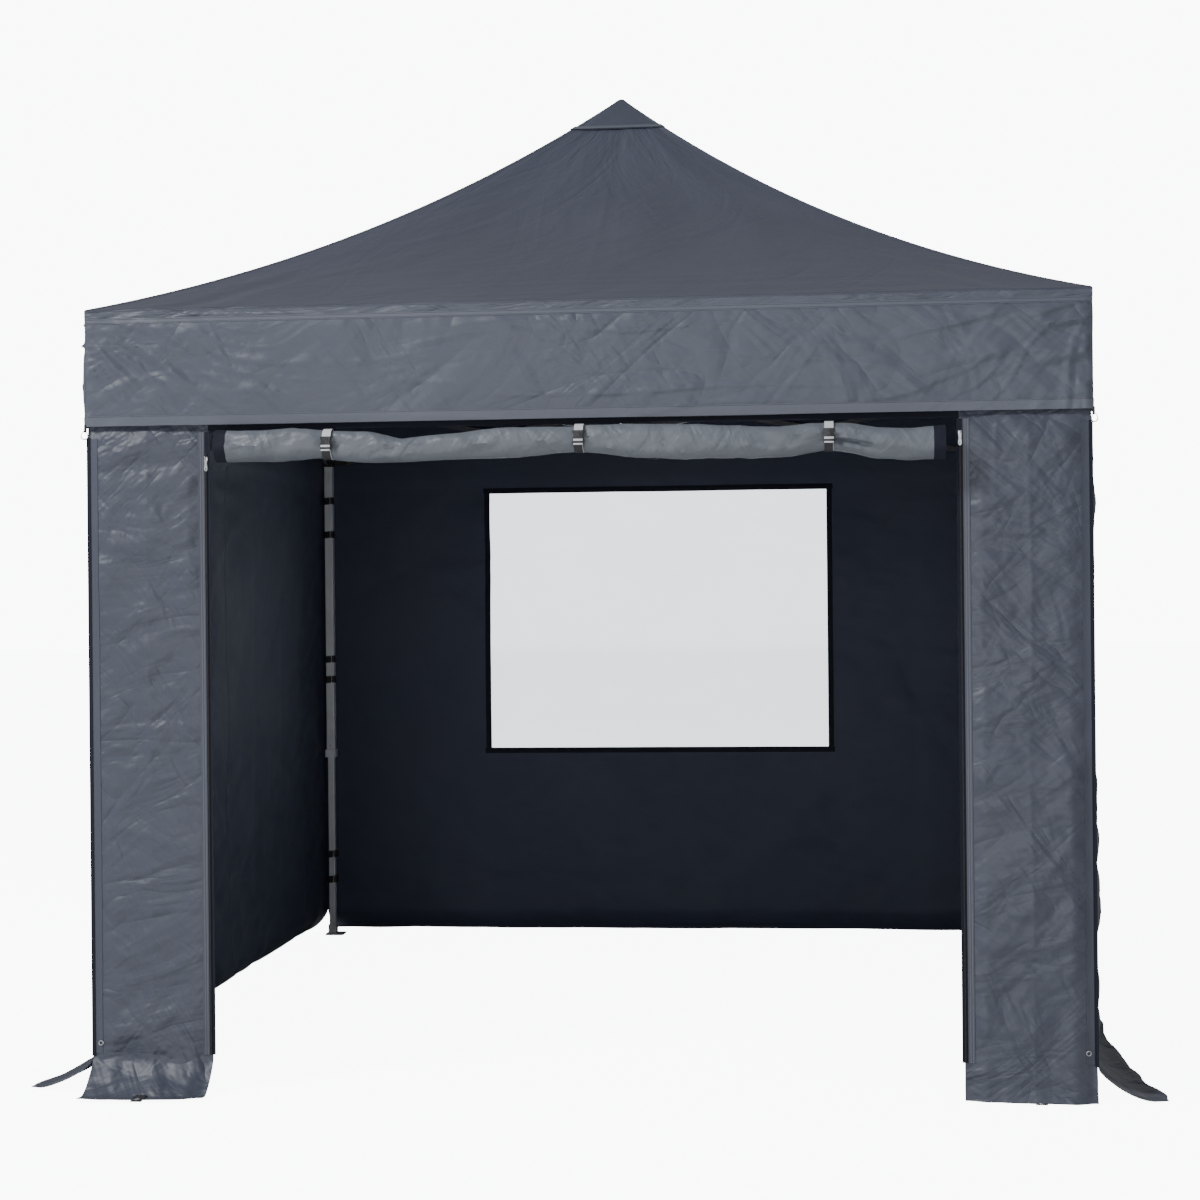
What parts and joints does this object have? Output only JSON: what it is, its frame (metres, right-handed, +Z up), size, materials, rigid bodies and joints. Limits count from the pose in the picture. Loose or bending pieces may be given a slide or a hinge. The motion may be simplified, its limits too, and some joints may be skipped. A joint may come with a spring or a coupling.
{
  "type": "tent on poles",
  "caption": "Square pop-up tent with a peaked fabric roof, valance and side walls on telescopic poles, a folding scissor truss, a rolled-up door and a clear rear window.",
  "frame": {"origin": "on the floor under the middle of the tent", "axes": "+Z up, -Y is the front with the door, +X to the right seen from the front"},
  "size_m": [3.29, 3.29, 3.325],
  "materials": {
    "pole_metal": "satin anodised tube",
    "bar_metal": "silver powder coat",
    "black_plastic": "moulded black plastic",
    "roof_fabric": "coated polyester, fine plain weave",
    "wall_fabric": "coated polyester, fine plain weave",
    "clear_film": "clear flexible film",
    "webbing": "woven webbing",
    "zip_metal": "bright plated"
  },
  "bodies": {
    "pole_front_left": {"outer_pole_front_left": "pole_metal"},
    "inner_pole_front_left": {"inner_pole_front_left": "pole_metal"},
    "snap_button_front_left": {"snap_button_front_left": "zip_metal"},
    "slider_front_left": {"slider_front_left": "black_plastic"},
    "pole_front_right": {"outer_pole_front_right": "pole_metal"},
    "inner_pole_front_right": {"inner_pole_front_right": "pole_metal"},
    "snap_button_front_right": {"snap_button_front_right": "zip_metal"},
    "slider_front_right": {"slider_front_right": "black_plastic"},
    "pole_back_right": {"outer_pole_back_right": "pole_metal"},
    "inner_pole_back_right": {"inner_pole_back_right": "pole_metal"},
    "snap_button_back_right": {"snap_button_back_right": "zip_metal"},
    "slider_back_right": {"slider_back_right": "black_plastic"},
    "pole_back_left": {"outer_pole_back_left": "pole_metal"},
    "inner_pole_back_left": {"inner_pole_back_left": "pole_metal"},
    "snap_button_back_left": {"snap_button_back_left": "zip_metal"},
    "slider_back_left": {"slider_back_left": "black_plastic"},
    "front_near_top_bar": {"front_near_top_bar": "bar_metal"},
    "front_near_low_bar": {"front_near_low_bar": "bar_metal"},
    "front_far_top_bar": {"front_far_top_bar": "bar_metal"},
    "front_far_low_bar": {"front_far_low_bar": "bar_metal"},
    "front_side": {"front_middle_bracket": "black_plastic", "front_valance": "wall_fabric", "front_wall": "wall_fabric", "door_roll": "wall_fabric", "door_straps": "webbing"},
    "front_inner_arm": {"front_inner_arm": "bar_metal"},
    "front_roof": {"front_roof_panel": "roof_fabric"},
    "right_near_top_bar": {"right_near_top_bar": "bar_metal"},
    "right_near_low_bar": {"right_near_low_bar": "bar_metal"},
    "right_far_top_bar": {"right_far_top_bar": "bar_metal"},
    "right_far_low_bar": {"right_far_low_bar": "bar_metal"},
    "right_side": {"right_middle_bracket": "black_plastic", "right_valance": "wall_fabric", "right_wall": "wall_fabric"},
    "right_inner_arm": {"right_inner_arm": "bar_metal"},
    "right_roof": {"right_roof_panel": "roof_fabric"},
    "back_near_top_bar": {"back_near_top_bar": "bar_metal"},
    "back_near_low_bar": {"back_near_low_bar": "bar_metal"},
    "back_far_top_bar": {"back_far_top_bar": "bar_metal"},
    "back_far_low_bar": {"back_far_low_bar": "bar_metal"},
    "back_side": {"back_middle_bracket": "black_plastic", "back_valance": "wall_fabric", "back_wall": "wall_fabric", "back_window": "clear_film"},
    "back_inner_arm": {"back_inner_arm": "bar_metal"},
    "back_roof": {"back_roof_panel": "roof_fabric"},
    "left_near_top_bar": {"left_near_top_bar": "bar_metal"},
    "left_near_low_bar": {"left_near_low_bar": "bar_metal"},
    "left_far_top_bar": {"left_far_top_bar": "bar_metal"},
    "left_far_low_bar": {"left_far_low_bar": "bar_metal"},
    "left_side": {"left_middle_bracket": "black_plastic", "left_valance": "wall_fabric", "left_wall": "wall_fabric"},
    "left_inner_arm": {"left_inner_arm": "bar_metal"},
    "left_roof": {"left_roof_panel": "roof_fabric"},
    "hub": {"centre_hub": "black_plastic", "mast": "pole_metal", "peak_patch": "roof_fabric"},
    "zip_puller_left": {"zip_puller_left": "zip_metal"},
    "zip_puller_right": {"zip_puller_right": "zip_metal"}
  },
  "joints": [
    {"name": "frame_fold", "type": "hinge", "parent": "pole_front_left", "child": "front_near_top_bar", "pos_m": [-1.394, -1.464, 2.335], "axis": [0, 1, 0], "range_deg": [0, 76], "deforming": ["front_valance", "front_wall", "door_roll", "door_straps", "front_roof_panel", "peak_patch", "right_valance", "right_wall", "right_roof_panel", "back_valance", "back_wall", "back_window", "back_roof_panel", "left_valance", "left_wall", "left_roof_panel"]},
    {"name": "front_foot_pivot", "type": "hinge", "parent": "front_near_top_bar", "child": "front_far_top_bar", "pos_m": [0, -1.464, 2.10172], "axis": [0, 1, 0], "range_deg": [-152.01, 0]},
    {"name": "front_far_top_pivot", "type": "hinge", "parent": "front_far_top_bar", "child": "pole_front_right", "pos_m": [1.394, -1.464, 2.335], "axis": [0, 1, 0], "range_deg": [0, 76.01]},
    {"name": "front_near_cross", "type": "hinge", "parent": "front_near_top_bar", "child": "front_near_low_bar", "pos_m": [-0.697, -1.464, 2.21836], "axis": [0, 1, 0], "range_deg": [-152.01, 0]},
    {"name": "front_far_cross", "type": "hinge", "parent": "front_far_top_bar", "child": "front_far_low_bar", "pos_m": [0.697, -1.464, 2.21836], "axis": [0, 1, 0], "range_deg": [0, 152.01]},
    {"name": "slider_front_left_pivot", "type": "hinge", "parent": "front_near_low_bar", "child": "slider_front_left", "pos_m": [-1.394, -1.464, 2.10172], "axis": [0, 1, 0], "range_deg": [0, 76.01]},
    {"name": "front_middle_pivot", "type": "hinge", "parent": "front_near_low_bar", "child": "front_side", "pos_m": [0, -1.464, 2.335], "axis": [0, 1, 0], "range_deg": [0, 76.01]},
    {"name": "front_arm_pivot", "type": "hinge", "parent": "front_side", "child": "front_inner_arm", "pos_m": [0, -1.436, 2.335], "axis": [-1, 0, 0], "range_deg": [0, 76.01]},
    {"name": "front_roof_gather", "type": "hinge", "parent": "front_side", "child": "front_roof", "pos_m": [0, -1.45, 2.33206], "axis": [-1, 0, 0], "range_deg": [0, 121.61]},
    {"name": "right_near_top_pivot", "type": "hinge", "parent": "pole_front_right", "child": "right_near_top_bar", "pos_m": [1.464, -1.394, 2.335], "axis": [-1, 0, 0], "range_deg": [0, 76.01]},
    {"name": "right_foot_pivot", "type": "hinge", "parent": "right_near_top_bar", "child": "right_far_top_bar", "pos_m": [1.464, 0, 2.10172], "axis": [-1, 0, 0], "range_deg": [-152.01, 0]},
    {"name": "right_far_top_pivot", "type": "hinge", "parent": "right_far_top_bar", "child": "pole_back_right", "pos_m": [1.464, 1.394, 2.335], "axis": [-1, 0, 0], "range_deg": [0, 76.01]},
    {"name": "right_near_cross", "type": "hinge", "parent": "right_near_top_bar", "child": "right_near_low_bar", "pos_m": [1.464, -0.697, 2.21836], "axis": [-1, 0, 0], "range_deg": [-152.01, 0]},
    {"name": "right_far_cross", "type": "hinge", "parent": "right_far_top_bar", "child": "right_far_low_bar", "pos_m": [1.464, 0.697, 2.21836], "axis": [-1, 0, 0], "range_deg": [0, 152.01]},
    {"name": "slider_front_right_pivot", "type": "hinge", "parent": "right_near_low_bar", "child": "slider_front_right", "pos_m": [1.464, -1.394, 2.10172], "axis": [-1, 0, 0], "range_deg": [0, 76.01]},
    {"name": "right_middle_pivot", "type": "hinge", "parent": "right_near_low_bar", "child": "right_side", "pos_m": [1.464, 0, 2.335], "axis": [-1, 0, 0], "range_deg": [0, 76.01]},
    {"name": "right_arm_pivot", "type": "hinge", "parent": "right_side", "child": "right_inner_arm", "pos_m": [1.436, 0, 2.335], "axis": [0, -1, 0], "range_deg": [0, 76.01]},
    {"name": "right_roof_gather", "type": "hinge", "parent": "right_side", "child": "right_roof", "pos_m": [1.45, 0, 2.33206], "axis": [0, -1, 0], "range_deg": [0, 121.61]},
    {"name": "back_near_top_pivot", "type": "hinge", "parent": "pole_back_right", "child": "back_near_top_bar", "pos_m": [1.394, 1.464, 2.335], "axis": [0, -1, 0], "range_deg": [0, 76.01]},
    {"name": "back_foot_pivot", "type": "hinge", "parent": "back_near_top_bar", "child": "back_far_top_bar", "pos_m": [0, 1.464, 2.10172], "axis": [0, -1, 0], "range_deg": [-152.01, 0]},
    {"name": "back_far_top_pivot", "type": "hinge", "parent": "back_far_top_bar", "child": "pole_back_left", "pos_m": [-1.394, 1.464, 2.335], "axis": [0, -1, 0], "range_deg": [0, 76.01]},
    {"name": "back_near_cross", "type": "hinge", "parent": "back_near_top_bar", "child": "back_near_low_bar", "pos_m": [0.697, 1.464, 2.21836], "axis": [0, -1, 0], "range_deg": [-152.01, 0]},
    {"name": "back_far_cross", "type": "hinge", "parent": "back_far_top_bar", "child": "back_far_low_bar", "pos_m": [-0.697, 1.464, 2.21836], "axis": [0, -1, 0], "range_deg": [0, 152.01]},
    {"name": "slider_back_right_pivot", "type": "hinge", "parent": "back_near_low_bar", "child": "slider_back_right", "pos_m": [1.394, 1.464, 2.10172], "axis": [0, -1, 0], "range_deg": [0, 76.01]},
    {"name": "back_middle_pivot", "type": "hinge", "parent": "back_near_low_bar", "child": "back_side", "pos_m": [0, 1.464, 2.335], "axis": [0, -1, 0], "range_deg": [0, 76.01]},
    {"name": "back_arm_pivot", "type": "hinge", "parent": "back_side", "child": "back_inner_arm", "pos_m": [0, 1.436, 2.335], "axis": [1, 0, 0], "range_deg": [0, 76.01]},
    {"name": "back_roof_gather", "type": "hinge", "parent": "back_side", "child": "back_roof", "pos_m": [0, 1.45, 2.33206], "axis": [1, 0, 0], "range_deg": [0, 121.61]},
    {"name": "left_far_top_pivot", "type": "hinge", "parent": "pole_front_left", "child": "left_far_top_bar", "pos_m": [-1.464, -1.394, 2.335], "axis": [1, 0, 0], "range_deg": [-76.01, 0]},
    {"name": "left_foot_pivot", "type": "hinge", "parent": "left_far_top_bar", "child": "left_near_top_bar", "pos_m": [-1.464, 0, 2.10172], "axis": [1, 0, 0], "range_deg": [0, 152.01]},
    {"name": "left_near_cross", "type": "hinge", "parent": "left_near_top_bar", "child": "left_near_low_bar", "pos_m": [-1.464, 0.697, 2.21836], "axis": [1, 0, 0], "range_deg": [-152.01, 0]},
    {"name": "left_far_cross", "type": "hinge", "parent": "left_far_top_bar", "child": "left_far_low_bar", "pos_m": [-1.464, -0.697, 2.21836], "axis": [1, 0, 0], "range_deg": [0, 152.01]},
    {"name": "slider_back_left_pivot", "type": "hinge", "parent": "left_near_low_bar", "child": "slider_back_left", "pos_m": [-1.464, 1.394, 2.10172], "axis": [1, 0, 0], "range_deg": [0, 76.01]},
    {"name": "left_middle_pivot", "type": "hinge", "parent": "left_near_low_bar", "child": "left_side", "pos_m": [-1.464, 0, 2.335], "axis": [1, 0, 0], "range_deg": [0, 76.01]},
    {"name": "left_arm_pivot", "type": "hinge", "parent": "left_side", "child": "left_inner_arm", "pos_m": [-1.436, 0, 2.335], "axis": [0, 1, 0], "range_deg": [0, 76.01]},
    {"name": "left_roof_gather", "type": "hinge", "parent": "left_side", "child": "left_roof", "pos_m": [-1.45, 0, 2.33206], "axis": [0, 1, 0], "range_deg": [0, 121.61]},
    {"name": "hub_pivot", "type": "hinge", "parent": "front_inner_arm", "child": "hub", "pos_m": [0, -0.042, 2.10172], "axis": [-1, 0, 0], "range_deg": [-76.01, 0]},
    {"name": "pole_length_front_left", "type": "slide", "parent": "pole_front_left", "child": "inner_pole_front_left", "axis": [0, 0, 1], "range_m": [0, 0.74]},
    {"name": "snap_button_front_left", "type": "slide", "parent": "pole_front_left", "child": "snap_button_front_left", "axis": [-1, 0, 0], "range_m": [0, 0.0022], "stiffness_N_per_m": 900},
    {"name": "pole_length_front_right", "type": "slide", "parent": "pole_front_right", "child": "inner_pole_front_right", "axis": [0, 0, 1], "range_m": [0, 0.74]},
    {"name": "snap_button_front_right", "type": "slide", "parent": "pole_front_right", "child": "snap_button_front_right", "axis": [0, -1, 0], "range_m": [0, 0.0022], "stiffness_N_per_m": 900},
    {"name": "pole_length_back_right", "type": "slide", "parent": "pole_back_right", "child": "inner_pole_back_right", "axis": [0, 0, 1], "range_m": [0, 0.74]},
    {"name": "snap_button_back_right", "type": "slide", "parent": "pole_back_right", "child": "snap_button_back_right", "axis": [1, 0, 0], "range_m": [0, 0.0022], "stiffness_N_per_m": 900},
    {"name": "pole_length_back_left", "type": "slide", "parent": "pole_back_left", "child": "inner_pole_back_left", "axis": [0, 0, 1], "range_m": [0, 0.74]},
    {"name": "snap_button_back_left", "type": "slide", "parent": "pole_back_left", "child": "snap_button_back_left", "axis": [0, 1, 0], "range_m": [0, 0.0022], "stiffness_N_per_m": 900},
    {"name": "zip_left", "type": "slide", "parent": "front_side", "child": "zip_puller_left", "axis": [0, 0, -1], "range_m": [0, 1.7]},
    {"name": "zip_right", "type": "slide", "parent": "front_side", "child": "zip_puller_right", "axis": [0, 0, -1], "range_m": [0, 1.7]}
  ],
  "couplings": [
    {"joint": "front_foot_pivot", "follows": "frame_fold", "ratio": -2},
    {"joint": "front_far_top_pivot", "follows": "frame_fold", "ratio": 1},
    {"joint": "front_near_cross", "follows": "frame_fold", "ratio": -2},
    {"joint": "front_far_cross", "follows": "frame_fold", "ratio": 2},
    {"joint": "slider_front_left_pivot", "follows": "frame_fold", "ratio": 1},
    {"joint": "front_middle_pivot", "follows": "frame_fold", "ratio": 1},
    {"joint": "front_arm_pivot", "follows": "frame_fold", "ratio": 1},
    {"joint": "front_roof_gather", "follows": "frame_fold", "ratio": 1.6},
    {"joint": "right_near_top_pivot", "follows": "frame_fold", "ratio": 1},
    {"joint": "right_foot_pivot", "follows": "frame_fold", "ratio": -2},
    {"joint": "right_far_top_pivot", "follows": "frame_fold", "ratio": 1},
    {"joint": "right_near_cross", "follows": "frame_fold", "ratio": -2},
    {"joint": "right_far_cross", "follows": "frame_fold", "ratio": 2},
    {"joint": "slider_front_right_pivot", "follows": "frame_fold", "ratio": 1},
    {"joint": "right_middle_pivot", "follows": "frame_fold", "ratio": 1},
    {"joint": "right_arm_pivot", "follows": "frame_fold", "ratio": 1},
    {"joint": "right_roof_gather", "follows": "frame_fold", "ratio": 1.6},
    {"joint": "back_near_top_pivot", "follows": "frame_fold", "ratio": 1},
    {"joint": "back_foot_pivot", "follows": "frame_fold", "ratio": -2},
    {"joint": "back_far_top_pivot", "follows": "frame_fold", "ratio": 1},
    {"joint": "back_near_cross", "follows": "frame_fold", "ratio": -2},
    {"joint": "back_far_cross", "follows": "frame_fold", "ratio": 2},
    {"joint": "slider_back_right_pivot", "follows": "frame_fold", "ratio": 1},
    {"joint": "back_middle_pivot", "follows": "frame_fold", "ratio": 1},
    {"joint": "back_arm_pivot", "follows": "frame_fold", "ratio": 1},
    {"joint": "back_roof_gather", "follows": "frame_fold", "ratio": 1.6},
    {"joint": "left_far_top_pivot", "follows": "frame_fold", "ratio": -1},
    {"joint": "left_foot_pivot", "follows": "frame_fold", "ratio": 2},
    {"joint": "left_near_cross", "follows": "frame_fold", "ratio": -2},
    {"joint": "left_far_cross", "follows": "frame_fold", "ratio": 2},
    {"joint": "slider_back_left_pivot", "follows": "frame_fold", "ratio": 1},
    {"joint": "left_middle_pivot", "follows": "frame_fold", "ratio": 1},
    {"joint": "left_arm_pivot", "follows": "frame_fold", "ratio": 1},
    {"joint": "left_roof_gather", "follows": "frame_fold", "ratio": 1.6},
    {"joint": "hub_pivot", "follows": "frame_fold", "ratio": -1}
  ]
}
